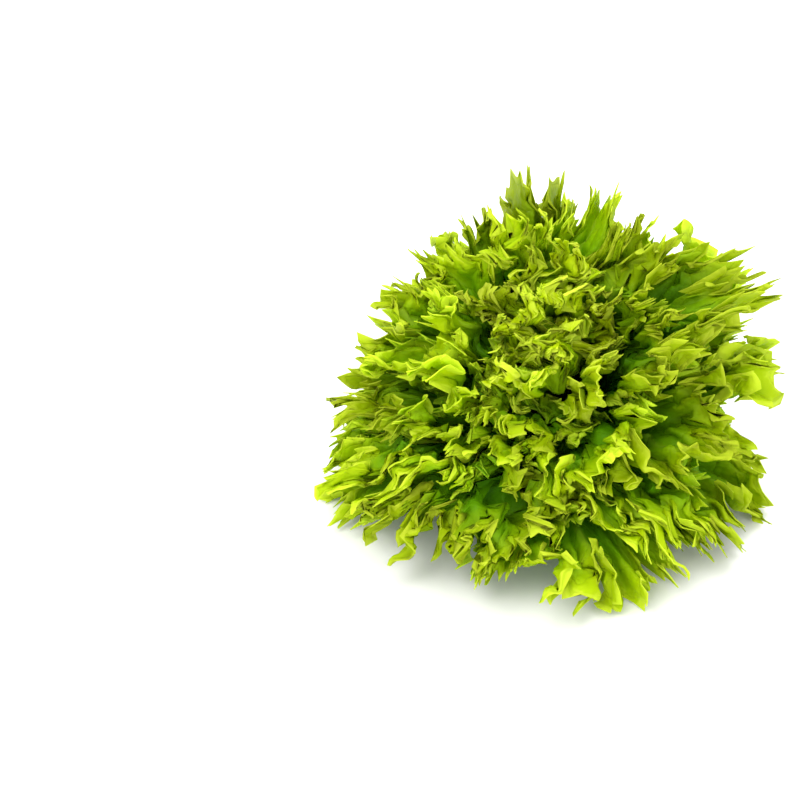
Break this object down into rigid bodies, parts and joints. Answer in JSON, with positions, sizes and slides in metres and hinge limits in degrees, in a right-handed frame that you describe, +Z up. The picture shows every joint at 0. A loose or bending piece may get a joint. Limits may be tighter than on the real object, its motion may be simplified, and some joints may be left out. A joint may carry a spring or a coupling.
{
  "type": "leaf lettuce head",
  "caption": "Loose head of green leaf lettuce with frilled, toothed leaves round a short cut stem, resting on its cut face and outer leaves.",
  "frame": {"origin": "middle of the head's box at the height of the table it rests on", "axes": "+Z up from the cut stem face, -Y towards the side the head leans to, which is its front"},
  "size_m": [0.2542, 0.257, 0.1719],
  "materials": {
    "leaf_green": "matte, fresh yellow-green leaf",
    "heart_green": "matte, pale lime heart leaf",
    "stem_cream": "matte, moist cream cut stem"
  },
  "bodies": {
    "root": {"stem_core": "stem_cream", "leaf_01": "leaf_green", "leaf_02": "leaf_green", "leaf_03": "leaf_green", "leaf_04": "leaf_green", "leaf_05": "leaf_green", "leaf_06": "leaf_green", "leaf_07": "leaf_green", "leaf_08": "leaf_green", "leaf_09": "leaf_green", "leaf_10": "leaf_green", "leaf_11": "leaf_green", "leaf_12": "leaf_green", "leaf_13": "leaf_green", "leaf_14": "leaf_green", "leaf_15": "leaf_green", "leaf_16": "leaf_green", "leaf_17": "leaf_green", "leaf_18": "leaf_green", "leaf_19": "leaf_green", "leaf_20": "leaf_green", "leaf_21": "leaf_green", "leaf_22": "leaf_green", "leaf_23": "leaf_green", "leaf_24": "leaf_green", "leaf_25": "leaf_green", "leaf_26": "leaf_green", "leaf_27": "leaf_green", "leaf_28": "leaf_green", "leaf_29": "leaf_green", "leaf_30": "heart_green", "leaf_31": "heart_green", "leaf_32": "heart_green", "leaf_33": "heart_green", "leaf_34": "heart_green", "leaf_35": "heart_green", "leaf_36": "heart_green", "leaf_37": "heart_green", "leaf_38": "heart_green", "leaf_39": "heart_green", "leaf_40": "heart_green"}
  },
  "joints": []
}
